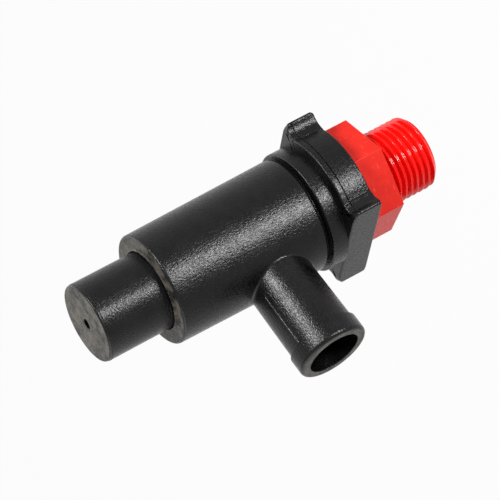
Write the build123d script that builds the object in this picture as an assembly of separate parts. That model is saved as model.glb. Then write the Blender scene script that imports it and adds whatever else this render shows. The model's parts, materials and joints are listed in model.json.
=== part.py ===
from build123d import *
import os
from math import cos, hypot, pi, sin

# A spring-loaded safety valve in glass-filled plastic, with a male M14 x 1.25 inlet fitting below, a hose
# spigot at the side and a vented spring cap on top.
#
# Millimetres. +Z runs up the valve's axis, from the inlet to the cap. The origin is the centre of the
# hexagon's lower face, the shoulder that seats on the vessel. +X runs out along the hose spigot.

# Fits and clearances, each on the radius or along the axis
screwed_clearance = 0.05      # between two screwed pieces, at the crests
sliding_clearance = 0.05      # piston in its guide bore
seal_clearance = 0.02         # round a squeezed ring, in its groove
stop_clearance = 0.05         # left between the piston and its stop at full lift
spring_clearance = 0.5        # spring in the cap's bore
pin_clearance = 0.6           # spring on the poppet's pin
washer_clearance = 0.3        # spring washers in the cap's bore and on the pin
screw_clearance = 0.1         # screw in the disc and its washer

# Inlet fitting, with the seat at its upper end
thread_diameter = 13.8
thread_length = 10.3
thread_lead = 0.9             # cone at the end of the thread
inlet_bore = 7.0
inlet_mouth = 0.5             # chamfer at the mouth of the bore
throat_diameter = 6.2         # of the narrower bore below the seat
throat_cone = 0.4
hexagon_across_flats = 18.7
hexagon_height = 6.55
hexagon_turn = 23.1           # degrees from +X to the nearest corner
stem_diameter = 13.0          # screwed into the base
nozzle_wall = 1.5
seat_rise = 8.95              # from the floor of the base up to the seat
seat_land = 0.5
seat_cone = 1.1               # height of the cone below the seat's land

# Base, screwed onto the barrel's neck
flats_across = 21.8
ring_diameter = 26.2
flange_height = 6.0
rim_height = 1.15
rim_step = 0.3                # from the ring out to the rim
ear_drop = 1.3                # from the top of the ring down to the ears
ear_splay = 0.28              # how much an ear's side climbs on its way out
ear_blend = 0.8               # hollow corner between an ear and the ring
ear_round = 0.35              # upright corners of the ears
ear_tip_round = 1.9           # upper tips of the ears
foot_band = 1.0
foot_inset = 0.25             # on the radius, at the foot of the ring
collar_diameter = 22.8
collar_height = 3.1
collar_chamfer = 0.3
floor_thickness = 4.0

# Barrel, with the spigot moulded on
joint_gap = 0.65              # shadow line between the collar and the barrel
neck_diameter = 19.0
neck_wall = 1.6
barrel_length = 30.05
barrel_low_diameter = 21.54
barrel_top_diameter = 20.92
barrel_low_bevel = 0.45
barrel_top_bevel = 0.4
guide_step = 0.76             # from the cap's hole in to the guide bore, which stops the piston
roof_above_outlet = 0.75      # from the outlet bore up to the chamber's roof
cap_hole_chamfer = 0.35

# Hose spigot
outlet_rise = 9.65            # from the barrel's lower end up to the spigot's axis
outlet_bore = 9.8
spigot_root_diameter = 12.0   # of its cone, at the valve's axis
spigot_end_diameter = 12.6
spigot_reach = 26.6           # from the valve's axis to the spigot's end
lip_length = 4.1
lip_diameter = 13.55
lip_bevel = 0.5
root_blend = 0.8

# Spring cap
cap_height = 13.15
cap_low_diameter = 14.7
cap_top_diameter = 14.8
cap_bevel = 0.25
cap_end_wall = 2.9
skirt_length = 7.75
vent_diameter = 1.9
lead_in = 0.3

# Moving group
lift = 2.4
disc_thickness = 2.0
disc_overlap = 1.3            # of the sealing disc outside the seat's land
disc_proud = 0.6              # how far the sealing disc stands out of its holder
holder_rim = 0.8
holder_floor = 2.4
post_diameter = 5.2
rib_thickness = 1.2
rib_inset = 0.8               # from the holder's side in to the ribs
rib_count = 4
piston_shoulder = 1.3         # above and below the piston's ring
pin_height = 4.6
screw_diameter = 2.0
screw_length = 8.5
screw_head_diameter = 3.6
screw_head_height = 1.2
disc_washer_diameter = 4.4
disc_washer_thickness = 0.5

# Spring and what it stands on
wire_diameter = 1.2
spring_diameter = 10.0        # over the coils
end_turns = 1.0               # closed and ground, at each end
open_turns = 6.5
closed_pitch = 1.06           # pitch of a closed turn, in wire diameters
steps_per_turn = 16
wire_sides = 8
spring_washer_thickness = 0.6
shim_thickness = 0.3
shim_count = 2

# Seals
ring_corner = 0.3             # share of a ring's section that its corners lose
gasket_thickness = 1.0
fitting_ring_width = 1.6
fitting_ring_height = 1.3
piston_ring_width = 1.35
piston_ring_height = 1.6
cap_ring_width = 0.85
cap_ring_height = 1.6
cap_ring_depth = 1.4          # from the barrel's end down to the ring's groove

# Diameters that follow from the pieces they fit
cap_hole_diameter = cap_low_diameter + 2 * screwed_clearance
cap_bore = spring_diameter + 2 * spring_clearance
guide_diameter = cap_hole_diameter - 2 * guide_step
piston_diameter = guide_diameter - 2 * sliding_clearance
pin_diameter = spring_diameter - 2 * wire_diameter - 2 * pin_clearance
spring_washer_diameter = cap_bore - 2 * washer_clearance
spring_washer_hole = pin_diameter + 2 * washer_clearance
socket_diameter = neck_diameter + 2 * screwed_clearance
chamber_diameter = neck_diameter - 2 * neck_wall
stem_hole_diameter = stem_diameter + 2 * screwed_clearance
ears_across = ring_diameter - 2 * ear_drop
nozzle_diameter = throat_diameter + 2 * nozzle_wall
land_diameter = throat_diameter + 2 * seat_land
disc_diameter = land_diameter + 2 * disc_overlap
disc_hole = screw_diameter + 2 * screw_clearance
holder_diameter = disc_diameter + 2 * holder_rim
rib_span = holder_diameter - 2 * rib_inset

# Levels along the axis
base_z = hexagon_height
floor_z = base_z + floor_thickness
flange_top_z = base_z + flange_height
base_top_z = flange_top_z + collar_height
neck_end_z = floor_z + gasket_thickness
seat_z = floor_z + seat_rise
barrel_z = base_top_z + joint_gap
barrel_top_z = barrel_z + barrel_length
outlet_z = barrel_z + outlet_rise
roof_z = outlet_z + outlet_bore / 2 + roof_above_outlet
cap_top_z = barrel_top_z + cap_height
skirt_end_z = barrel_top_z - skirt_length
piston_top_z = skirt_end_z - lift - stop_clearance
piston_height = piston_ring_height + 2 * piston_shoulder
piston_z = piston_top_z - piston_height
piston_ring_z = piston_z + piston_shoulder
disc_top_z = seat_z + disc_thickness
holder_top_z = disc_top_z + holder_floor
spring_z = piston_top_z + spring_washer_thickness
cap_roof_z = cap_top_z - cap_end_wall
shims_z = cap_roof_z - shim_count * shim_thickness
spring_top_z = shims_z - spring_washer_thickness
cap_ring_z = barrel_top_z - cap_ring_depth - cap_ring_height


def turned(*points):
    """A solid turned about the axis from the (radius, height) corners of its half section."""
    return revolve(Plane.XZ * make_face(Polyline(*points, close=True)), Axis.Z)


def tube(outer, inner, low, height):
    """A plain ring or, with no inner diameter, a plain disc."""
    section = Circle(outer / 2)
    if inner > 0:
        section -= Circle(inner / 2)
    return extrude(Plane.XY.offset(low) * section, height)


def rims(solid, diameter, height):
    """The round edges of a solid at one height, of one diameter."""
    return [
        edge
        for edge in solid.edges().filter_by(GeomType.CIRCLE)
        if abs(edge.arc_center.Z - height) < 0.01 and abs(edge.radius - diameter / 2) < 0.01
    ]


def seal_ring(outer, inner, low, height):
    """A rubber ring squeezed in its groove: an O-ring with flattened sides."""
    width = (outer - inner) / 2
    section = Rectangle(width, height)
    section = chamfer(section.vertices(), ring_corner * min(width, height))
    return revolve(Plane.XZ * Pos((outer + inner) / 4, low + height / 2) * section, Axis.Z)


def inlet_fitting():
    """Red: the threaded stub and its hexagon, with the screwed stem, the nozzle and the seat above."""
    thread = thread_diameter / 2
    stem = stem_diameter / 2
    nozzle = nozzle_diameter / 2
    turned_body = turned(
        (0, -thread_length),
        (thread - thread_lead, -thread_length),
        (thread, thread_lead - thread_length),
        (thread, 0),
        (thread, hexagon_height / 2),
        (stem, hexagon_height / 2),
        (stem, floor_z - lead_in),
        (stem - lead_in, floor_z),
        (nozzle, floor_z),
        (nozzle, seat_z - seat_cone),
        (land_diameter / 2, seat_z),
        (0, seat_z),
    )
    hexagon = RegularPolygon(hexagon_across_flats / 2, 6, major_radius=False, rotation=hexagon_turn)
    solid = turned_body + extrude(hexagon, hexagon_height)
    throat = throat_diameter / 2
    solid -= turned(
        (0, -thread_length),
        (inlet_bore / 2, -thread_length),
        (inlet_bore / 2, floor_z),
        (throat, floor_z + throat_cone),
        (throat, seat_z),
        (0, seat_z),
    )
    return chamfer(rims(solid, inlet_bore, -thread_length), inlet_mouth)


def flange_outline(diameter):
    """A ring with two splayed ears on each side, cut off by the two spanner flats."""
    ring = Circle(diameter / 2) & Rectangle(flats_across, diameter)
    flat = flats_across / 2
    ear = ears_across / 2
    waist = ear - flat * ear_splay
    half = [(flat, ear), (0, waist), (-flat, ear)]
    outline = ring + make_face(Polyline(*half, *[(-x, -y) for x, y in half], close=True))
    hollows = [v for v in outline.vertices() if abs(v.X) < flats_across / 2 - ear_round]
    outline = fillet(hollows, ear_blend)
    ear_reach = hypot(flats_across, ears_across) / 2
    ears = [v for v in outline.vertices() if hypot(v.X, v.Y) > ear_reach - ear_round / 10]
    return fillet(ears, ear_round)


def valve_base():
    """The piece with the spanner flats: flange, ears and rim below, and a round collar above."""
    foot = Plane.XY.offset(base_z) * flange_outline(ring_diameter - 2 * foot_inset)
    ring = Plane.XY.offset(base_z + foot_band) * flange_outline(ring_diameter)
    rim = Plane.XY.offset(flange_top_z - rim_height) * flange_outline(ring_diameter + 2 * rim_step)
    flange = loft([foot, ring], ruled=True) + extrude(ring, flange_height - foot_band)
    collar = tube(collar_diameter, 0, flange_top_z, collar_height)
    collar = chamfer(rims(collar, collar_diameter, base_top_z), collar_chamfer)
    solid = flange + extrude(rim, rim_height) + collar
    solid -= tube(socket_diameter, 0, floor_z, base_top_z - floor_z)
    solid -= tube(stem_hole_diameter, 0, base_z, floor_thickness)
    recess = stem_hole_diameter + 2 * (fitting_ring_width + seal_clearance)
    solid -= tube(recess, 0, base_z, fitting_ring_height)
    solid = chamfer(rims(solid, socket_diameter, base_top_z), lead_in)

    tip_reach = hypot(flats_across, ears_across)
    envelope = tube(tip_reach, 0, base_z, flange_height)
    envelope = fillet(rims(envelope, tip_reach, flange_top_z), ear_tip_round)
    return solid - (tube(2 * tip_reach, 0, base_z, flange_height) - envelope)


def spigot():
    """The hose spigot as a solid bar, with its low barb at the end."""
    root = spigot_root_diameter / 2
    neck = spigot_end_diameter / 2
    lip = lip_diameter / 2
    lip_start = spigot_reach - lip_length
    bar = turned(
        (0, 0), (root, 0), (neck, lip_start), (lip, lip_start), (lip, spigot_reach), (0, spigot_reach)
    )
    bar = chamfer(rims(bar, lip_diameter, spigot_reach), lip_bevel)
    return Pos(0, 0, outlet_z) * Rot(0, 90, 0) * bar


def valve_body():
    """The barrel with its screwed neck below, the hose spigot at the side and the stepped bore inside."""
    low = barrel_low_diameter / 2
    top = barrel_top_diameter / 2
    barrel = turned((0, barrel_z), (low, barrel_z), (top, barrel_top_z), (0, barrel_top_z))
    barrel = chamfer(rims(barrel, barrel_low_diameter, barrel_z), barrel_low_bevel)
    barrel = chamfer(rims(barrel, barrel_top_diameter, barrel_top_z), barrel_top_bevel)
    solid = barrel + spigot()
    junction = [e for e in solid.edges() if e.geom_type not in (GeomType.CIRCLE, GeomType.LINE)]
    solid = fillet(junction, root_blend)

    neck = tube(neck_diameter, 0, neck_end_z, barrel_z - neck_end_z)
    solid += chamfer(rims(neck, neck_diameter, neck_end_z), lead_in)
    solid -= tube(chamber_diameter, 0, neck_end_z, roof_z - neck_end_z)
    solid -= tube(guide_diameter, 0, roof_z, barrel_top_z - roof_z)
    solid -= tube(cap_hole_diameter, 0, skirt_end_z, skirt_length)
    solid -= Pos(0, 0, outlet_z) * Rot(0, 90, 0) * tube(outlet_bore, 0, 0, spigot_reach)
    return chamfer(rims(solid, cap_hole_diameter, barrel_top_z), cap_hole_chamfer)


def spring_cap():
    """The cap that holds the spring down: a screwed skirt inside the barrel, with a vent in its end."""
    low = cap_low_diameter / 2
    top = cap_top_diameter / 2
    solid = turned(
        (0, skirt_end_z), (low - lead_in, skirt_end_z), (low, skirt_end_z + lead_in), (low, barrel_top_z),
        (top, cap_top_z), (0, cap_top_z),
    )
    solid = chamfer(rims(solid, cap_top_diameter, cap_top_z), cap_bevel)
    solid -= tube(cap_bore, 0, skirt_end_z, cap_roof_z - skirt_end_z)
    solid -= tube(vent_diameter, 0, cap_roof_z, cap_end_wall)
    groove_bottom = cap_hole_diameter - 2 * cap_ring_width - 2 * seal_clearance
    groove_height = cap_ring_height + 2 * seal_clearance
    return solid - tube(cap_hole_diameter, groove_bottom, cap_ring_z - seal_clearance, groove_height)


def poppet():
    """White: the disc holder, its ribbed post, the piston and the pin that centres the spring."""
    holder = holder_diameter / 2
    recess = disc_diameter / 2 + seal_clearance
    post = post_diameter / 2
    piston = piston_diameter / 2
    groove = guide_diameter / 2 - piston_ring_width - seal_clearance
    pin = pin_diameter / 2
    groove_z = piston_ring_z - seal_clearance
    groove_top_z = piston_ring_z + piston_ring_height + seal_clearance
    holder_z = seat_z + disc_proud
    solid = turned(
        (0, disc_top_z), (recess, disc_top_z), (recess, holder_z), (holder, holder_z),
        (holder, holder_top_z - lead_in), (holder - lead_in, holder_top_z), (post, holder_top_z),
        (post, piston_z), (piston - lead_in, piston_z), (piston, piston_z + lead_in),
        (piston, groove_z), (groove, groove_z), (groove, groove_top_z), (piston, groove_top_z),
        (piston, piston_top_z), (pin, piston_top_z), (pin, piston_top_z + pin_height - 2 * lead_in),
        (pin - 2 * lead_in, piston_top_z + pin_height), (0, piston_top_z + pin_height),
    )
    rib = Plane.XY.offset(holder_top_z) * Rectangle(rib_span, rib_thickness)
    for side in range(rib_count // 2):
        solid += Rot(0, 0, side * 360 / rib_count) * extrude(rib, piston_z - holder_top_z)
    shank_top_z = seat_z - disc_washer_thickness + screw_length
    return solid - tube(screw_diameter, 0, disc_top_z, shank_top_z - disc_top_z)


def disc_screw():
    """The small screw that holds the sealing disc, put in from below."""
    head_top_z = seat_z - disc_washer_thickness
    head = tube(screw_head_diameter, 0, head_top_z - screw_head_height, screw_head_height)
    head = chamfer(rims(head, screw_head_diameter, head_top_z - screw_head_height), screw_head_height / 2)
    return head + tube(screw_diameter, 0, head_top_z, screw_length)


def spring():
    """A compression spring with closed, ground ends, between its two washers."""
    radius = (spring_diameter - wire_diameter) / 2
    end_pitch = closed_pitch * wire_diameter
    rise = spring_top_z - spring_z
    open_pitch = (rise - 2 * end_turns * end_pitch) / open_turns
    all_turns = 2 * end_turns + open_turns

    def height(turn):
        closed = min(turn, end_turns) + max(turn - end_turns - open_turns, 0)
        opened = min(max(turn - end_turns, 0), open_turns)
        return spring_z + closed * end_pitch + opened * open_pitch

    count = round(all_turns * steps_per_turn)
    turns = [all_turns * i / count for i in range(count + 1)]
    centres = [(radius * cos(2 * pi * t), radius * sin(2 * pi * t), height(t)) for t in turns]
    path = Polyline(*centres)
    wire = Plane(origin=path @ 0, z_dir=path % 0) * RegularPolygon(wire_diameter / 2, wire_sides)
    coil = sweep(wire, path=path, transition=Transition.RIGHT)
    return coil & tube(2 * spring_diameter, 0, spring_z, rise)


def shims():
    """Thin washers stacked under the cap's end, which set the opening pressure."""
    gap = seal_clearance / 2
    stack = [
        tube(spring_washer_diameter, spring_washer_hole, shims_z + i * shim_thickness, shim_thickness - gap)
        for i in range(shim_count)
    ]
    return Compound(children=stack)


recess_outer = stem_hole_diameter + 2 * fitting_ring_width
guide_fit = guide_diameter - 2 * seal_clearance
cap_hole_fit = cap_hole_diameter - 2 * seal_clearance

nodes = {
    "inlet_fitting": inlet_fitting(),
    "fitting_o_ring": seal_ring(recess_outer, stem_hole_diameter, base_z, fitting_ring_height),
    "valve_base": valve_base(),
    "body_gasket": tube(neck_diameter, chamber_diameter, floor_z, gasket_thickness),
    "valve_body": valve_body(),
    "sealing_disc": tube(disc_diameter, disc_hole, seat_z, disc_thickness),
    "disc_washer": tube(
        disc_washer_diameter, disc_hole, seat_z - disc_washer_thickness, disc_washer_thickness
    ),
    "disc_screw": disc_screw(),
    "poppet": poppet(),
    "piston_o_ring": seal_ring(
        guide_fit,
        guide_diameter - 2 * piston_ring_width,
        piston_ring_z,
        piston_ring_height,
    ),
    "lower_spring_washer": tube(
        spring_washer_diameter, spring_washer_hole, piston_top_z, spring_washer_thickness
    ),
    "spring": spring(),
    "upper_spring_washer": tube(
        spring_washer_diameter, spring_washer_hole, spring_top_z, spring_washer_thickness
    ),
    "preload_shims": shims(),
    "spring_cap": spring_cap(),
    "cap_o_ring": seal_ring(
        cap_hole_fit,
        cap_hole_diameter - 2 * cap_ring_width,
        cap_ring_z,
        cap_ring_height,
    ),
}

os.makedirs("parts", exist_ok=True)
for name, solid in nodes.items():
    export_step(solid, f"parts/{name}.step")
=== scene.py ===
import json
from math import atan2, cos, hypot, pi, radians, sin, sqrt, tan

import bmesh
import bpy
from mathutils import Matrix, Vector


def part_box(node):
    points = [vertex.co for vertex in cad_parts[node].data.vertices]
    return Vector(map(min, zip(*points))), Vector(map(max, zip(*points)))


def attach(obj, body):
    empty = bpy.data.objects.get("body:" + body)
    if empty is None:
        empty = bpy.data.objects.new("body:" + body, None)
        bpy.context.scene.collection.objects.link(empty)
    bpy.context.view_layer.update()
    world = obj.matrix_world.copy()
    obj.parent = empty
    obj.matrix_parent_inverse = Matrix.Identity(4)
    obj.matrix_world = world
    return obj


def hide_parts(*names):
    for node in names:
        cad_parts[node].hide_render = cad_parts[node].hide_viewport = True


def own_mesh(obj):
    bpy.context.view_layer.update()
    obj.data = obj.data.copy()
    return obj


# A safety valve: red threaded inlet below, black base and barrel, hose spigot at the side, cap on top.
# The sizes below are millimetres and degrees. The finished meshes are in metres, in the packed
# model's own frame.

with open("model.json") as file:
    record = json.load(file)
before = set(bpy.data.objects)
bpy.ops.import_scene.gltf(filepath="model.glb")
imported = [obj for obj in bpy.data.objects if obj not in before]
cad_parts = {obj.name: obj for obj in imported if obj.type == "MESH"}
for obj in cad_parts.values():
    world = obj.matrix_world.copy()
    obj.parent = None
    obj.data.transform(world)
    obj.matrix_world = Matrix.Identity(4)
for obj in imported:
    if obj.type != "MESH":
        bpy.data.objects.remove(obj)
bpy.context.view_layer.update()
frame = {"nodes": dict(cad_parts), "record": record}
mm = 0.001


def level(node, top):
    """The lowest or highest level of a CAD node, in millimetres."""
    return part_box(node)[1 if top else 0].z / mm


# Levels and the spigot's reach, read from the frame
thread_end_z = level("inlet_fitting", False)
seat_z = level("inlet_fitting", True)
base_z = level("valve_base", False)
base_top_z = level("valve_base", True)
neck_end_z = level("valve_body", False)
barrel_top_z = level("valve_body", True)
cap_z = level("spring_cap", False)
cap_top_z = level("spring_cap", True)
spring_z = level("spring", False)
spring_top_z = level("spring", True)
spigot_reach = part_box("valve_body")[1].x / mm

# Inlet fitting
pitch = 1.25
thread_diameter = 13.8
thread_depth = 0.767
thread_relief = 1.15          # plain stretch between the last turn and the hexagon
thread_fade = 0.6             # stretch over which the last turn runs out
lead_depth = 0.1              # how far the tapered start goes below the thread's root
inlet_bore = 7.0
mouth_bevel = 0.5
throat_diameter = 6.2
throat_cone = 0.4             # height over which the bore narrows to the throat
seat_width = 0.5
seat_cone = 1.1               # height of the cone that leads up to the seat
hexagon_across_flats = 18.7
hexagon_turn = 23.1           # from +X to one of its corners
hexagon_round = 0.13
stem_diameter = 13.0
nozzle_diameter = 9.2

# Base: a flange with two flats and four ears, and a collar above
flats_across = 21.8
ears_across = 23.6
ear_splay = 0.28              # slope of the ear's side against the flat's normal
ear_blend = 0.25              # rounding where the ear's side meets the ring
ear_round = 0.35
ear_tip_round = 1.9           # how the ears' tips fall away towards the top
ear_foot_round = 0.9
flank_hollow = 0.45           # how far the ear's side dips between its tip and the ring
ring_diameter = 26.2
rim_diameter = 26.8
rim_height = 1.15
rim_round = 0.3
flange_height = 6.0
foot_inset = 0.25
foot_band = 1.0
collar_diameter = 22.8
floor_height = 4.0
seal_pocket_width = 1.67
seal_pocket_height = 1.3
stem_play = 0.05

# Barrel with its spigot
body_gap = 0.65               # between the collar and the barrel
gap_diameter = 19.8           # the shoulder that shows in that gap
barrel_low_diameter = 21.54
barrel_top_diameter = 20.92
barrel_low_round = 0.5
barrel_top_round = 0.42
neck_diameter = 19.0
socket_diameter = 19.1
chamber_diameter = 15.8
guide_diameter = 13.28
cap_hole_diameter = 14.8
bead_height = 0.12            # of the bead round the cap's hole
outlet_height = 9.65
outlet_bore = 9.8
roof_clearance = 0.75
spigot_root_diameter = 12.0
spigot_end_diameter = 12.6
root_blend = 0.5
root_blend_x = 9.5            # where the spigot is measured for the blend at its root
spigot_start_x = 12.2         # past the blend, where the plain spigot starts
lip_length = 3.5
lip_diameter = 13.45
seam_start_x = 12.5
seam_angle = 60               # round the spigot from +Y to +Z
seam_width = 0.11
seam_height = 0.04

# Cap
cap_low_diameter = 14.7
cap_top_diameter = 14.8
cap_end_round = 0.32
cap_end_step = 0.1            # step in its radius near its end
cap_bore = 11.0
cap_end_wall = 2.9
cap_groove_depth = 0.84
vent_diameter = 1.9

# Spring
wire_diameter = 1.2
spring_diameter = 10.0
end_turns = 1.0
open_turns = 6.5
closed_pitch = 1.272

# Levels that follow from the sizes
floor_z = base_z + floor_height
barrel_z = base_top_z + body_gap
outlet_z = barrel_z + outlet_height
roof_z = outlet_z + outlet_bore / 2 + roof_clearance
cap_roof_z = cap_top_z - cap_end_wall

# How finely the meshes are divided
crease = 38                   # a sharper corner between two faces shows as an edge
window_side = 48              # points along each side of the wall's window for the spigot
cap_columns = 160
thread_columns = 120
rows_per_turn = 14
coil_steps = 640
wire_sides = 16


# Shaders and geometry trees written as expressions


class Wire:
    """A socket in a node tree that adds its own Math nodes when it is used in an expression."""

    def __init__(self, tree, socket):
        self.tree = tree
        self.socket = socket

    def maths(self, operation, *values):
        return self.tree.node("ShaderNodeMath", {"operation": operation}, dict(enumerate(values)))

    def __add__(self, other):
        return self.maths("ADD", self, other)

    def __radd__(self, other):
        return self.maths("ADD", other, self)

    def __sub__(self, other):
        return self.maths("SUBTRACT", self, other)

    def __rsub__(self, other):
        return self.maths("SUBTRACT", other, self)

    def __mul__(self, other):
        return self.maths("MULTIPLY", self, other)

    def __rmul__(self, other):
        return self.maths("MULTIPLY", other, self)

    def __truediv__(self, other):
        return self.maths("DIVIDE", self, other)

    def __rtruediv__(self, other):
        return self.maths("DIVIDE", other, self)

    def least(self, other):
        return self.maths("MINIMUM", self, other)

    def most(self, other):
        return self.maths("MAXIMUM", self, other)

    def size(self):
        return self.maths("ABSOLUTE", self)

    def sine(self):
        return self.maths("SINE", self)

    def cosine(self):
        return self.maths("COSINE", self)

    def floor(self):
        return self.maths("FLOOR", self)

    def ceiling(self):
        return self.maths("CEIL", self)

    def fraction(self):
        return self.maths("FRACT", self)

    def over(self, low, high):
        """0 up to low, 1 from high on, and a straight ramp between."""
        sockets = {"Value": self, "From Min": low, "From Max": high}
        return self.tree.node("ShaderNodeMapRange", {"clamp": True}, sockets)


class Tree:
    """A node tree, with one method that adds any node."""

    def __init__(self, tree):
        self.tree = tree

    def node(self, kind, settings=None, sockets=None, output=0):
        made = self.tree.nodes.new(kind)
        for name, value in (settings or {}).items():
            setattr(made, name, value)
        for name, value in (sockets or {}).items():
            if isinstance(value, Wire):
                self.tree.links.new(value.socket, made.inputs[name])
            else:
                made.inputs[name].default_value = value
        return Wire(self, made.outputs[output])

    def mix(self, share, first, second):
        """Two colours mixed."""
        made = self.node("ShaderNodeMix", {"data_type": "RGBA"}, {}, 2)
        for place, value in ((0, share), (6, first), (7, second)):
            socket = made.socket.node.inputs[place]
            if isinstance(value, Wire):
                self.tree.links.new(value.socket, socket)
            else:
                socket.default_value = value
        return made

    def stretched(self, place, scale):
        return self.node("ShaderNodeVectorMath", {"operation": "MULTIPLY"}, {0: place, 1: scale})

    def noise(self, place, scale, detail, roughness):
        sockets = {"Vector": place, "Scale": scale, "Detail": detail, "Roughness": roughness}
        return self.node("ShaderNodeTexNoise", {}, sockets)

    def split(self, place):
        """The x, y and z of a vector."""
        parts = self.node("ShaderNodeSeparateXYZ", {}, {"Vector": place}).socket.node
        return [Wire(self, parts.outputs[axis]) for axis in "XYZ"]

    def joined(self, x, y, z):
        """A vector from its x, y and z."""
        return self.node("ShaderNodeCombineXYZ", {}, {"X": x, "Y": y, "Z": z})


def colour(red, green, blue):
    return (red, green, blue, 1.0)


def finish(name, recipe, **fixed):
    """A material: the recipe gives what changes over the surface, the shader has the fixed values."""
    material = bpy.data.materials.new(name)
    material.use_nodes = True
    tree = Tree(material.node_tree)
    shader = material.node_tree.nodes["Principled BSDF"]
    for socket, value in fixed.items():
        shader.inputs[socket.replace("_", " ")].default_value = value
    place = tree.node("ShaderNodeTexCoord", {}, {}, "Object")
    for socket, wire in recipe(tree, place).items():
        material.node_tree.links.new(wire.socket, shader.inputs[socket])
    return material


def bump(tree, height, distance, strength):
    """The normal of a surface whose bumps rise by this distance, in metres."""
    return tree.node("ShaderNodeBump", {}, {"Height": height, "Distance": distance, "Strength": strength})


def black_plastic_recipe(end_z, spigot_x=1.0):
    """Glass-filled nylon: a fibre grain along its flow, glossy specks, and dust with a painted sheen on its
    end faces.

    The plastic flows along the axis up to spigot_x and outwards beyond it. Dust with a painted sheen lies
    from end_z up and on the spigot's mouth: a lighter, mottled grey that is partly dust and partly painted
    light that these faces catch.
    """

    def recipe(tree, place):
        x, _, z = tree.split(place)
        across = x.over(spigot_x * mm, (spigot_x + 1) * mm)
        mouth = x.over((spigot_reach - 0.05) * mm, (spigot_reach - 0.01) * mm)
        end = z.over((end_z - 0.04) * mm, (end_z - 0.01) * mm).most(mouth * 0.7)
        up = tree.stretched(place, (1.0, 1.0, 0.55))
        out = tree.stretched(place, (0.55, 1.0, 1.0))

        def along_flow(scale, detail, roughness):
            low = tree.noise(up, scale, detail, roughness)
            return low + (tree.noise(out, scale, detail, roughness) - low) * across

        grain = along_flow(3000, 3.0, 0.6)
        speck = along_flow(4200, 2.0, 0.5)
        cloud = tree.noise(place, 420, 4.0, 0.6)
        # dust and painted sheen: a mottled mask for the lighter grey on the end faces and the mouth, partly
        # dust and partly painted light
        dust_and_sheen = tree.noise(place, 430, 4.0, 0.7).over(0.38, 0.62)
        darkest = colour(0.0010, 0.0010, 0.0013)
        plain = tree.mix(cloud.over(0.35, 0.7), darkest, colour(0.0030, 0.0030, 0.0032))
        # the lighter grey of the end faces: dust, with painted sheen standing in for the light they catch
        dusty_sheen = tree.mix(dust_and_sheen, colour(0.004, 0.004, 0.004), colour(0.088, 0.079, 0.065))
        rough = speck.over(0.38, 0.62) * 0.18 + cloud.over(0.3, 0.7) * 0.05 + 0.15
        return {
            "Base Color": tree.mix(end, plain, dusty_sheen),
            "Roughness": rough + end * 0.2,
            "Normal": bump(tree, grain * 0.65 + speck * 0.35, 0.0001, 1.0),
        }

    return recipe


def red_plastic_recipe(tree, place):
    """Red nylon: matte and lightly scratched from the hexagon up, glossy and deeper on the thread."""
    hexagon = tree.split(place)[2].over(-0.25 * mm, 0.05 * mm)
    grain = tree.noise(place, 3200, 3.0, 0.6)
    cloud = tree.noise(place, 420, 3.0, 0.6)
    scratch = tree.noise(tree.stretched(place, (0.25, 0.25, 1.0)), 2400, 2.0, 0.5).over(0.62, 0.72)
    matte = tree.mix(cloud.over(0.35, 0.7), colour(0.43, 0.010, 0.005), colour(0.49, 0.013, 0.007))
    worn = tree.mix(scratch * 0.3, matte, colour(0.70, 0.10, 0.07))
    return {
        "Base Color": tree.mix(hexagon, colour(0.64, 0.0045, 0.003), worn),
        "Roughness": hexagon * (grain * 0.14 + 0.14) + 0.14,
        "Coat Weight": (1 - hexagon) * 0.12,
        "Normal": bump(tree, grain * hexagon, 0.00002, 0.6),
    }


def white_plastic_recipe(tree, place):
    cloud = tree.noise(place, 700, 3.0, 0.6)
    return {
        "Base Color": tree.mix(cloud, colour(0.78, 0.78, 0.74), colour(0.86, 0.86, 0.83)),
        "Roughness": cloud * 0.15 + 0.32,
        "Normal": bump(tree, tree.noise(place, 5000, 2.0, 0.5), 0.00001, 0.5),
    }


def rubber_recipe(tree, place):
    cloud = tree.noise(place, 900, 3.0, 0.6)
    return {
        "Base Color": tree.mix(cloud, colour(0.012, 0.012, 0.012), colour(0.022, 0.022, 0.022)),
        "Roughness": cloud * 0.2 + 0.5,
        "Normal": bump(tree, tree.noise(place, 4000, 3.0, 0.5), 0.00001, 0.5),
    }


def steel_recipe(tree, place):
    drawn = tree.noise(tree.stretched(place, (1.0, 1.0, 4.0)), 3000, 3.0, 0.6)
    return {
        "Base Color": tree.mix(drawn, colour(0.50, 0.50, 0.51), colour(0.66, 0.66, 0.67)),
        "Roughness": drawn * 0.2 + 0.22,
        "Normal": bump(tree, drawn, 0.000006, 0.6),
    }


black_shine = 0.21
barrel_recipe = black_plastic_recipe(barrel_top_z, spigot_x=11.0)
base_plastic = finish("base plastic", black_plastic_recipe(cap_top_z), Specular_IOR_Level=black_shine)
barrel_plastic = finish("barrel plastic", barrel_recipe, Specular_IOR_Level=black_shine)
cap_plastic = finish("cap plastic", black_plastic_recipe(cap_top_z), Specular_IOR_Level=black_shine)
red_plastic = finish("red plastic", red_plastic_recipe, Specular_IOR_Level=0.13, Coat_Roughness=0.14)
white_plastic = finish("white plastic", white_plastic_recipe, Specular_IOR_Level=0.5)
rubber = finish("black rubber", rubber_recipe, Specular_IOR_Level=0.4)
steel = finish("stainless steel", steel_recipe, Metallic=1.0)


# Meshes


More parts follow.
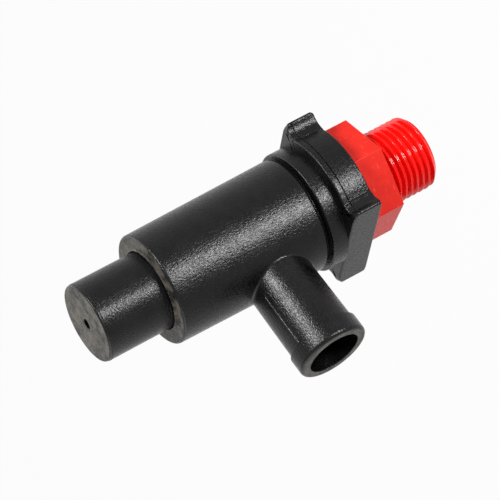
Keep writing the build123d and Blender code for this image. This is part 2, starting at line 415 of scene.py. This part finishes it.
def rounded(corners, steps=5, support=0.07):
    """A line through (x, y, round) corners, each round an arc with a support point at either end."""
    line = []
    for i, corner in enumerate(corners):
        here = Vector(corner[:2])
        if len(corner) < 3 or corner[2] == 0 or i in (0, len(corners) - 1):
            line.append(here)
            continue
        before = (Vector(corners[i - 1][:2]) - here).normalized()
        after = (Vector(corners[i + 1][:2]) - here).normalized()
        half = before.angle(after) / 2
        reach = corner[2] / tan(half)
        start = here + before * reach
        end = here + after * reach
        line.append(start + before * support)
        for k in range(steps + 1):
            share = k / steps
            weights = ((1 - share) ** 2, 2 * sin(half) * share * (1 - share), share**2)
            line.append((start * weights[0] + here * weights[1] + end * weights[2]) / sum(weights))
        line.append(end + after * support)
    return line


def turned(profile, around):
    """Rings about the axis, one for each (radius, height) point of the profile."""
    return [[(r * cos(a), r * sin(a), z) for a in around] for r, z in profile]


def even(count):
    """Angles in radians, evenly round a circle from +X on."""
    return [2 * pi * i / count for i in range(count)]


def shell(name, sheets, material, body, node, strips=(), extra=None):
    """One closed mesh from sheets, which are lists of closed rings, and from open strips of points."""
    made = bmesh.new()
    for rings, closed in [(s, True) for s in sheets] + [(s, False) for s in strips]:
        rows = [[made.verts.new(Vector(p) * mm) for p in ring] for ring in rings]
        for low, high in zip(rows, rows[1:]):
            for i in range(0 if closed else 1, len(low)):
                made.faces.new((low[i - 1], low[i], high[i], high[i - 1]))
    if extra:
        made.from_mesh(extra)
    bmesh.ops.remove_doubles(made, verts=made.verts, dist=0.002 * mm)
    bmesh.ops.dissolve_degenerate(made, edges=made.edges, dist=0.001 * mm)
    bmesh.ops.recalc_face_normals(made, faces=made.faces)
    open_edges = sum(1 for e in made.edges if not e.is_manifold)
    print(name, "faces", len(made.faces), "open edges", open_edges)
    mesh = bpy.data.meshes.new(name)
    made.to_mesh(mesh)
    made.free()
    return placed(name, mesh, material, body, node)


def placed(name, mesh, material, body, node):
    """The mesh as a piece of the object: smooth, finished, and on its body in its CAD node's place."""
    mesh.materials.clear()
    mesh.materials.append(material)
    for face in mesh.polygons:
        face.use_smooth = True
        face.material_index = 0
    mesh.set_sharp_from_angle(angle=radians(crease))
    piece = bpy.data.objects.new(name, mesh)
    bpy.context.scene.collection.objects.link(piece)
    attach(piece, body)
    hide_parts(node)
    return piece


# Shapes of the barrel with its spigot


def barrel_radius(z):
    share = (z - barrel_z) / (barrel_top_z - barrel_z)
    return (barrel_low_diameter + (barrel_top_diameter - barrel_low_diameter) * share) / 2


def spigot_radius(x):
    share = x / (spigot_reach - lip_length)
    return (spigot_root_diameter + (spigot_end_diameter - spigot_root_diameter) * share) / 2


def window(half_width, half_height, side):
    """Points round a rectangle, even on each side, from its upper right corner on."""
    corners = [((1, 1), (-1, 0)), ((-1, 1), (0, -1)), ((-1, -1), (1, 0)), ((1, -1), (0, 1))]
    points = []
    for (x, y), (step_x, step_y) in corners:
        for k in range(side):
            points.append(
                (half_width * (x + step_x * 2 * k / side), half_height * (y + step_y * 2 * k / side))
            )
    return points


def pierced_wall(radius, low_z, high_z, half_height, hole, steps):
    """A round wall with a window at +X: its sheets, with the rings that lead to the hole, and its strip."""
    around = even(4 * window_side)
    half_angle = around[window_side // 2]
    low = outlet_z - half_height
    high = outlet_z + half_height

    def ring(z, angles):
        return [(radius(z) * cos(a), radius(z) * sin(a), z) for a in angles]

    hair = 1e-6
    outside = [a for a in around if half_angle - hair < a < 2 * pi - half_angle + hair]
    rows = [low + 2 * half_height * k / window_side for k in range(window_side + 1)]
    strip = [ring(z, outside) for z in rows]
    rings = []
    for k in range(steps + 1):
        share = k / steps
        row = []
        for (a, h), (x, y, z) in zip(window(half_angle, half_height, window_side), hole):
            mixed_a = a + (Vector((x, y)).angle_signed(Vector((1, 0))) - a) * share
            mixed_z = outlet_z + h + (z - outlet_z - h) * share
            row.append((radius(mixed_z) * cos(mixed_a), radius(mixed_z) * sin(mixed_a), mixed_z))
        rings.append(row)
    below = [ring(low_z, around), ring(low, around)]
    above = [ring(high, around), ring(high_z, around)]
    return [below, above, rings], strip


def root_rings(turns):
    """The blend between the barrel's wall and the spigot, from the wall outwards."""
    steps = 8
    reach = spigot_radius(root_blend_x) + root_blend
    rings = []
    for k in range(steps + 1):
        row = []
        for turn in turns:
            centre_y = reach * turn.x
            centre_z = outlet_z + reach * turn.y
            centre_x = sqrt((barrel_radius(centre_z) + root_blend) ** 2 - centre_y**2)
            to_wall = Vector((-centre_x, -centre_y, 0)).normalized()
            to_spigot = Vector((0, -turn.x, -turn.y))
            way = to_wall.slerp(to_spigot, k / steps)
            row.append(tuple(Vector((centre_x, centre_y, centre_z)) + way * root_blend))
        rings.append(row)
    return rings


def seam_turns(turns):
    """The directions round the spigot with three of them moved to the parting line, and the middle one."""
    line = radians(seam_angle)
    middle = min(range(len(turns)), key=lambda i: abs(atan2(turns[i].y, turns[i].x) - line))
    moved = list(turns)
    for step in (-1, 0, 1):
        angle = line + step * seam_width / spigot_end_diameter
        moved[middle + step] = Vector((cos(angle), sin(angle)))
    return moved, middle


def spigot_rings(turns):
    """The spigot from its start out over the lip and back in through the mouth, with its parting line."""
    lip_x = spigot_reach - lip_length
    lip = lip_diameter / 2
    bore = outlet_bore / 2
    tube = spigot_end_diameter / 2
    profile = [(x, spigot_radius(x)) for x in (spigot_start_x, spigot_start_x + 0.4, lip_x - 0.5)]
    profile += [
        (lip_x, tube, 0.08),
        (lip_x, lip, 0.06),
        (spigot_reach, lip, 0.7),
        (spigot_reach, bore, 0.12),
        (spigot_reach - 2, bore),
    ]
    # the parting line is a fine raised line from seam_start_x up to the lip
    turns, middle = seam_turns(turns)
    rings = []
    for x, r in rounded(profile):
        row = [(x, r * turn.x, outlet_z + r * turn.y) for turn in turns]
        if seam_start_x < x < lip_x + 0.02 and r < tube + 0.1:
            raised = (r + seam_height) * turns[middle]
            row[middle] = (x, raised.x, outlet_z + raised.y)
        rings.append(row)
    return rings


def barrel():
    around = even(4 * window_side)
    half_angle = around[window_side // 2]
    outer_window = 8.4            # half the height of the window in the barrel's wall
    inner_window = 5.3            # and in the chamber's
    # directions round the spigot, so that each window point has its own
    spots = window(half_angle * barrel_radius(outlet_z), outer_window, window_side)
    turns = [Vector(spot).normalized() for spot in spots]

    chamber = chamber_diameter / 2
    bore = outlet_bore / 2
    mouth = [
        (sqrt(chamber**2 - (bore * turn.x) ** 2), bore * turn.x, outlet_z + bore * turn.y) for turn in turns
    ]
    blend = root_rings(turns)
    spigot = [blend[-1]] + spigot_rings(turns) + [mouth]

    low_side = barrel_z + 0.6
    top_side = barrel_top_z - 0.55
    chamber_z = neck_end_z + 1
    under_roof_z = roof_z - 0.2
    shoulder_z = base_top_z + 0.02
    outer_sheets, outer_strip = pierced_wall(barrel_radius, low_side, top_side, outer_window, blend[0], 5)
    inner_sheets, inner_strip = pierced_wall(
        lambda z: chamber, chamber_z, under_roof_z, inner_window, mouth, 3
    )
    foot = rounded(
        [
            (barrel_radius(low_side), low_side),
            (barrel_radius(barrel_z), barrel_z, barrel_low_round),
            (gap_diameter / 2, barrel_z, 0.1),
            (gap_diameter / 2, shoulder_z, 0.05),
            (neck_diameter / 2, shoulder_z),
            (neck_diameter / 2, neck_end_z, 0.3),
            (chamber, neck_end_z, 0.1),
            (chamber, chamber_z),
        ]
    )
    hole = cap_hole_diameter / 2
    guide = guide_diameter / 2
    head = rounded(
        [
            (barrel_radius(top_side), top_side),
            (barrel_radius(barrel_top_z), barrel_top_z, barrel_top_round),
            (hole + 0.5, barrel_top_z, 0.03),
            (hole + 0.3, barrel_top_z + bead_height, 0.04),
            (hole + 0.14, barrel_top_z + bead_height, 0.04),
            (hole, barrel_top_z - 0.3, 0.08),
            (hole, cap_z, 0.05),
            (guide, cap_z, 0.05),
            (guide, roof_z, 0.05),
            (chamber, roof_z, 0.05),
            (chamber, under_roof_z),
        ]
    )
    sheets = outer_sheets + inner_sheets + [blend, spigot, turned(foot, around), turned(head, around)]
    strips = [outer_strip, inner_strip]
    return shell("barrel", sheets, barrel_plastic, "housing", "valve_body", strips)


# Shapes of the base with its ears


def flange_outline(diameter):
    """Points round the flange: a flat at the front and back, and two ears with a ring arc at each side."""
    flat = flats_across / 2
    ear = ears_across / 2
    radius = diameter / 2
    # the ear's side is the line y = waist + ear_splay * x, which meets the ring at one point
    waist = ear - flat * ear_splay
    slope = 1 + ear_splay**2
    inside = (ear_splay * waist) ** 2 - slope * (waist**2 - radius**2)
    meet_x = (sqrt(inside) - ear_splay * waist) / slope
    meet_y = waist + ear_splay * meet_x
    start = atan2(meet_y, meet_x)
    arc_steps = 18
    quarter = [(flat, 0), (flat, ear, ear_round), (meet_x, meet_y, ear_blend)]
    for k in range(2, arc_steps + 1):
        angle = start + (pi / 2 - start) * k / arc_steps
        quarter.append((radius * cos(angle), radius * sin(angle)))
    points = rounded(quarter, 6)
    flat_steps = 16
    lead = [Vector((flat, points[1].y * k / flat_steps)) for k in range(flat_steps)]
    # the ear's side is hollowed between its tip and its blend
    tip_width = 0.6
    tip_end = next(i for i, p in enumerate(points) if p.x < flat - tip_width)
    first = points[tip_end - 1]
    last = points[tip_end]
    across = Vector((first.y - last.y, last.x - first.x)).normalized()
    flank_steps = 10
    flank = []
    for k in range(1, flank_steps):
        share = k / flank_steps
        flank.append(first.lerp(last, share) + across * (4 * share * (1 - share) * flank_hollow))
    points = lead + points[1:tip_end] + flank + points[tip_end:]
    half = points + [Vector((-p.x, p.y)) for p in reversed(points[:-1])]
    return half + [Vector((-p.x, -p.y)) for p in half[1:-1]]


def inset(points, by):
    """The closed outline moved inwards."""
    moved = []
    for i, here in enumerate(points):
        along = (points[(i + 1) % len(points)] - points[i - 1]).normalized()
        moved.append(here + Vector((-along.y, along.x)) * by)
    return moved


def off_flats(points, by):
    """The outline moved inwards, but for the flats, which stay plain."""
    margin = 0.8                  # distance from a flat beyond which the whole move shows
    shares = [min(1, (flats_across / 2 - abs(p.x)) / margin) for p in points]
    return [p.lerp(q, share) for p, q, share in zip(points, inset(points, by), shares)]


def ears_rounded(points, z):
    """The outline at one level, where the ears' tips fall away towards the top and a little at the foot."""
    corner = hypot(flats_across, ears_across) / 2
    tip = corner - 0.14           # where the tip's own rounding ends, short of the sharp corner
    low = base_z + ear_foot_round
    high = base_z + flange_height - ear_tip_round
    if z < low:
        reach = tip - ear_foot_round + sqrt(max(ear_foot_round**2 - (low - z) ** 2, 0))
    elif z > high:
        reach = corner - ear_tip_round + sqrt(max(ear_tip_round**2 - (z - high) ** 2, 0))
    else:
        reach = corner
    return [(*(p * min(1, reach / p.length)), z) for p in points]


def base():
    ring = flange_outline(ring_diameter)
    foot = flange_outline(ring_diameter - 2 * foot_inset)
    rim = flange_outline(rim_diameter)
    top_z = base_z + flange_height
    rim_z = top_z - rim_height
    tip_z = top_z - ear_tip_round

    # the set-in foot with its rounded edge, as (inset, height) pairs
    foot_edge = [(0.2, 0), (0.06, 0.06), (0, 0.2), (0, 0.3), (0, 0.5), (0, 0.7)]
    levels = [(inset(foot, by), base_z + rise) for by, rise in foot_edge]
    levels += [(ring, base_z + rise) for rise in (foot_band - 0.1, foot_band, foot_band + 0.1, 2.4)]
    levels += [(ring, tip_z + k * (rim_z - 0.34 - tip_z) / 3) for k in range(4)]
    # the shallow groove under the rim, as (depth, drop) pairs, and the rim's lower edge
    groove = [(0.06, 0.28), (0.16, 0.2), (0.18, 0.08), (0.05, 0.01)]
    levels += [(off_flats(ring, depth), rim_z - drop) for depth, drop in groove]
    levels += [(off_flats(rim, 0.06), rim_z)]
    levels += [(rim, rim_z + rise) for rise in (0.06, 0.15, 0.35)]
    levels += [(rim, top_z - drop) for drop in (0.6, 0.45, 0.35)]
    for k in range(1, 6):
        turn = k * pi / 10
        levels.append((inset(rim, rim_round * (1 - cos(turn))), top_z - rim_round * (1 - sin(turn))))
    levels += [(inset(rim, rim_round + margin), top_z) for margin in (0.1, 0.5)]
    flange = [ears_rounded(points, z) for points, z in levels]

    stem = stem_diameter / 2
    pocket = stem + seal_pocket_width
    pocket_z = base_z + seal_pocket_height
    collar = rounded(
        [
            (collar_diameter / 2, top_z),
            (collar_diameter / 2, base_top_z, 0.28),
            (socket_diameter / 2, base_top_z, 0.12),
            (socket_diameter / 2, floor_z, 0.05),
            (stem + stem_play, floor_z, 0.05),
            (stem + stem_play, pocket_z, 0.05),
            (pocket, pocket_z, 0.05),
            (pocket, base_z, 0.1),
            (pocket + 0.53, base_z),
        ]
    )
    angles = [p.angle_signed(Vector((1, 0))) for p in rim]
    rings = flange + turned(collar, angles) + [flange[0]]
    return shell("base", [rings], base_plastic, "housing", "valve_base")


# Shapes of the cap


def cap():
    skirt = cap_low_diameter / 2
    top = cap_top_diameter / 2
    end = top - cap_end_step
    vent = vent_diameter / 2
    bore = cap_bore / 2
    groove = skirt - cap_groove_depth
    groove_top_z = barrel_top_z - 1.38
    groove_low_z = barrel_top_z - 3.02
    profile = rounded(
        [
            (vent, cap_roof_z),
            (vent, cap_top_z, 0.1),
            (end, cap_top_z, cap_end_round),
            (end, cap_top_z - 0.56, 0.03),
            (top, cap_top_z - 0.64, 0.03),
            (top - 0.02, cap_top_z - 1.4, 0.02),
            (skirt + 0.01, barrel_top_z + 1.0, 0.02),
            (skirt, groove_top_z, 0.05),
            (groove, groove_top_z, 0.1),
            (groove, groove_low_z, 0.1),
            (skirt, groove_low_z, 0.05),
            (skirt, cap_z, 0.25),
            (bore, cap_z, 0.1),
            (bore, cap_roof_z, 0.3),
            (vent, cap_roof_z),
        ]
    )
    rings = turned(profile, even(cap_columns))
    return shell("cap", [rings], cap_plastic, "housing", "spring_cap")


# Geometry trees: the helical thread and the spring


def grown(name, build, sizes, material):
    """The plain mesh that a geometry tree with these named sizes makes."""
    tree = bpy.data.node_groups.new(name, "GeometryNodeTree")
    tree.interface.new_socket("Geometry", in_out="INPUT", socket_type="NodeSocketGeometry")
    keys = {}
    for size in sizes:
        socket = tree.interface.new_socket(size, in_out="INPUT", socket_type="NodeSocketFloat")
        keys[size] = socket.identifier
    tree.interface.new_socket("Geometry", in_out="OUTPUT", socket_type="NodeSocketGeometry")
    grow = Tree(tree)
    group = tree.nodes.new("NodeGroupInput")
    inputs = {size: Wire(grow, group.outputs[size]) for size in sizes}
    surface = build(grow, inputs)
    real = grow.node("GeometryNodeRealizeInstances", {}, {"Geometry": surface})
    final = grow.node("GeometryNodeSetMaterial", {}, {"Geometry": real, "Material": material})
    out = tree.nodes.new("NodeGroupOutput")
    tree.links.new(final.socket, out.inputs[0])
    seed = bpy.data.objects.new(name, bpy.data.meshes.new(name))
    bpy.context.scene.collection.objects.link(seed)
    modifier = seed.modifiers.new(name, "NODES")
    modifier.node_group = tree
    for size, value in sizes.items():
        modifier[keys[size]] = value
    bpy.context.view_layer.update()
    seen = seed.evaluated_get(bpy.context.evaluated_depsgraph_get())
    mesh = bpy.data.meshes.new_from_object(seen)
    bpy.data.objects.remove(seed)
    return mesh


def thread_tree(grow, size):
    """A sheet of rows that climbs one pitch in each turn, its radius following the thread's section."""
    turns = (size["Top"] - size["End"]) / size["Pitch"] + 2
    rows = (turns * rows_per_turn).ceiling()
    counts = {"Size X": 1.0, "Size Y": 1.0, "Vertices X": thread_columns + 1, "Vertices Y": rows}
    grid = grow.node("GeometryNodeMeshGrid", {}, counts)
    index = grow.node("GeometryNodeInputIndex")
    column = ((index + 0.5) / rows).floor()
    row = index - column * rows
    share = column / thread_columns
    climb = (row / rows_per_turn + share - 1) * size["Pitch"] + size["End"]
    height = climb.most(size["End"]).least(size["Top"])
    # whole turns added before the fraction keep it clear of values below 0
    phase = ((height - size["End"]) / size["Pitch"] - share + 20).fraction()
    ridge = 1 - (phase * 2 - 1).size()
    section = ridge.over(0.14, 0.80)
    smooth = section * section * (3 - 2 * section) * 0.45 + section * 0.55
    fade = (size["Top"] - size["Relief"] - height).over(0, thread_fade * mm)
    crest = size["Radius"] - size["Depth"] + size["Depth"] * smooth * fade
    # the tapered start, at 45 degrees
    lead = size["Radius"] - size["Lead"] + (height - size["End"])
    radius = crest.least(lead)
    angle = share * (2 * pi)
    spot = grow.joined(radius * angle.cosine(), radius * angle.sine(), height)
    return grow.node("GeometryNodeSetPosition", {}, {"Geometry": grid, "Position": spot})


def hexagon(across, z):
    """A hexagonal ring with rounded corners, its points gathered at the corners."""
    corner = across / sqrt(3)
    side = thread_columns // 6
    turns = [radians(hexagon_turn + 60 * k) for k in (-1, 0, 1)]
    corners = [(corner * cos(turn), corner * sin(turn), hexagon_round) for turn in turns]
    bend = rounded(corners, 5, 0.06)[1:-1]
    last = Matrix.Rotation(-pi / 3, 2) @ bend[-1]
    plain = side - len(bend)
    flat = [last.lerp(bend[0], (k + 1) / (plain + 1)) for k in range(plain)]
    ring = []
    for k in range(6):
        ring += [(*(Matrix.Rotation(k * pi / 3, 2) @ p), z) for p in flat + bend]
    shift = side // 2
    return ring[-shift:] + ring[:-shift]


def fitting():
    thread = grown(
        "inlet thread",
        thread_tree,
        {
            "End": thread_end_z * mm,
            "Top": 0.0,
            "Pitch": pitch * mm,
            "Radius": thread_diameter / 2 * mm,
            "Depth": thread_depth * mm,
            "Lead": (thread_depth + lead_depth) * mm,
            "Relief": thread_relief * mm,
        },
        red_plastic,
    )
    around = even(thread_columns)
    root = thread_diameter / 2 - thread_depth
    bore = inlet_bore / 2
    stem = stem_diameter / 2
    throat = throat_diameter / 2
    nozzle = nozzle_diameter / 2

    # the hexagon's rounded edge, as (loss across the flats, height) pairs, and the same again at its top
    edge = [(0.4, 0), (0.24, 0), (0.07, 0.035), (0, 0.12), (0, 0.25)]
    flank = turned([(root, 0), (root + 0.1, 0)], around)
    flank += [hexagon(hexagon_across_flats - loss, rise) for loss, rise in edge]
    flank += [hexagon(hexagon_across_flats - loss, base_z - rise) for loss, rise in reversed(edge[1:])]
    inside = rounded(
        [
            (stem + 1, base_z),
            (stem, base_z, 0.1),
            (stem, floor_z, 0.3),
            (nozzle, floor_z, 0.1),
            (nozzle, seat_z - seat_cone, 0.2),
            (throat + seat_width, seat_z, 0.15),
            (throat, seat_z, 0.08),
            (throat, floor_z + throat_cone, 0.1),
            (bore, floor_z, 0.1),
            (bore, thread_end_z + mouth_bevel, 0.1),
            (bore + mouth_bevel, thread_end_z, 0.1),
            (root - lead_depth, thread_end_z),
        ]
    )
    sheets = [flank + turned(inside, around)]
    return shell("inlet", sheets, red_plastic, "housing", "inlet_fitting", extra=thread)


def spring_tree(grow, size):
    """A coil whose pitch is closed at both ends and open between, with its ends ground flat."""
    line = grow.node("GeometryNodeMeshLine", {}, {"Count": coil_steps + 1})
    turns = size["Open Turns"] + size["End Turns"] * 2
    turn = grow.node("GeometryNodeInputIndex") / coil_steps * turns
    closed = turn.least(size["End Turns"]) + (turn - size["End Turns"] - size["Open Turns"]).most(0)
    opened = (turn - size["End Turns"]).most(0).least(size["Open Turns"])
    rise = size["Top"] - size["Foot"]
    open_pitch = (rise - size["End Turns"] * 2 * size["Closed Pitch"]) / size["Open Turns"]
    height = size["Foot"] + closed * size["Closed Pitch"] + opened * open_pitch
    angle = turn * (2 * pi)
    spot = grow.joined(size["Radius"] * angle.cosine(), size["Radius"] * angle.sine(), height)
    bent = grow.node("GeometryNodeSetPosition", {}, {"Geometry": line, "Position": spot})
    curve = grow.node("GeometryNodeMeshToCurve", {}, {"Mesh": bent})
    circle = {"Resolution": wire_sides, "Radius": size["Wire"] / 2}
    section = grow.node("GeometryNodeCurvePrimitiveCircle", {}, circle)
    along = {"Curve": curve, "Profile Curve": section, "Fill Caps": True}
    wire = grow.node("GeometryNodeCurveToMesh", {}, along)
    x, y, z = grow.split(grow.node("GeometryNodeInputPosition"))
    ground = grow.joined(x, y, z.most(size["Foot"]).least(size["Top"]))
    return grow.node("GeometryNodeSetPosition", {}, {"Geometry": wire, "Position": ground})


def coil():
    mesh = grown(
        "coil",
        spring_tree,
        {
            "Foot": spring_z * mm,
            "Top": spring_top_z * mm,
            "Radius": (spring_diameter - wire_diameter) / 2 * mm,
            "Wire": wire_diameter * mm,
            "End Turns": end_turns,
            "Open Turns": open_turns,
            "Closed Pitch": closed_pitch * mm,
        },
        steel,
    )
    piece = placed("coil_spring", mesh, steel, "housing", "spring")
    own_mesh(piece)
    return piece


barrel()
base()
cap()
fitting()
coil()

finishes = {
    "black_rubber": rubber,
    "stainless_steel": steel,
    "white_plastic": white_plastic,
    "black_plastic": base_plastic,
    "red_plastic": red_plastic,
}
for part in frame["record"]["subparts"]:
    node = frame["nodes"][part["node"]]
    node.data.materials.clear()
    node.data.materials.append(finishes[part["material_slot"]])


# Floor, light and camera


def seen_directly(tree):
    """1 for rays of the camera, reflections and transmission, 0 for those that carry light."""
    path = tree.node("ShaderNodeLightPath").socket.node
    rays = [Wire(tree, path.outputs[f"Is {kind} Ray"]) for kind in ("Camera", "Glossy", "Transmission")]
    return rays[0].most(rays[1]).most(rays[2])


def white_floor(half_width, level_z):
    """A plain white floor, well below the thread's end, that keeps the valve's shadow. Sizes in metres."""
    made = bpy.data.meshes.new("floor")
    corners = [(-1, -1), (1, -1), (1, 1), (-1, 1)]
    made.from_pydata([(x * half_width, y * half_width, level_z) for x, y in corners], [], [(0, 1, 2, 3)])
    floor_piece = bpy.data.objects.new("floor", made)
    bpy.context.scene.collection.objects.link(floor_piece)
    material = bpy.data.materials.new("floor white")
    material.use_nodes = True
    tree = Tree(material.node_tree)
    material.node_tree.nodes.clear()
    share = seen_directly(tree) * 0.96
    paper = tree.node("ShaderNodeBsdfDiffuse", {}, {"Color": colour(0.85, 0.85, 0.85)})
    glow = tree.node("ShaderNodeEmission", {}, {"Color": colour(1, 1, 1), "Strength": 1.0})
    mixed = tree.node("ShaderNodeMixShader", {}, {0: share, 1: paper, 2: glow})
    out = material.node_tree.nodes.new("ShaderNodeOutputMaterial")
    material.node_tree.links.new(mixed.socket, out.inputs["Surface"])
    made.materials.append(material)


def soft_world(strength_as_light):
    """White to the camera and in reflections, softer as light."""
    world = bpy.data.worlds.new("studio")
    bpy.context.scene.world = world
    world.use_nodes = True
    tree = Tree(world.node_tree)
    background = world.node_tree.nodes["Background"]
    background.inputs["Color"].default_value = colour(1, 1, 1)
    strength = seen_directly(tree) * (1 - strength_as_light) + strength_as_light
    world.node_tree.links.new(strength.socket, background.inputs["Strength"])


def lamp(name, azimuth, elevation, distance, size, power):
    """A soft square lamp that looks at the middle of the valve, with its distance and size in metres."""
    light = bpy.data.lights.new(name, "AREA")
    light.size = size
    light.energy = power
    piece = bpy.data.objects.new(name, light)
    bpy.context.scene.collection.objects.link(piece)
    round_axis = radians(azimuth)
    upwards = radians(elevation)
    way = Vector((cos(upwards) * cos(round_axis), cos(upwards) * sin(round_axis), sin(upwards)))
    middle = Vector((0, 0, 0.025))
    facing = way.to_track_quat("Z", "Y").to_matrix().to_4x4()
    piece.matrix_world = Matrix.Translation(middle + way * distance) @ facing


def camera():
    """The photograph's own view: from the side, a little above, and turned. Its place is in metres."""
    data = bpy.data.cameras.new("camera")
    data.lens = 249.43
    data.sensor_width = 36.0
    piece = bpy.data.objects.new("camera", data)
    bpy.context.scene.collection.objects.link(piece)
    right = Vector((0.55645, 0.10142, -0.82467))
    up = Vector((-0.74089, 0.50983, -0.43721))
    back = right.cross(up)
    spot = Vector((0.2293, 0.5162, 0.2438))
    rows = [[right[i], up[i], back[i], spot[i]] for i in range(3)]
    piece.matrix_world = Matrix(rows + [[0, 0, 0, 1]])
    bpy.context.scene.camera = piece


white_floor(half_width=6.0, level_z=-0.26)
soft_world(strength_as_light=0.2)
lamp("barrel lamp", 70, -21, 0.30, 0.08, 1.07)
lamp("spigot lamp", 119, 39, 0.40, 0.12, 2.1)
lamp("back lamp", 200, 32, 0.6, 0.5, 1.1)
lamp("side lamp", -28, 20, 0.6, 0.6, 2.2)
camera()
bpy.context.scene.view_settings.view_transform = "Standard"
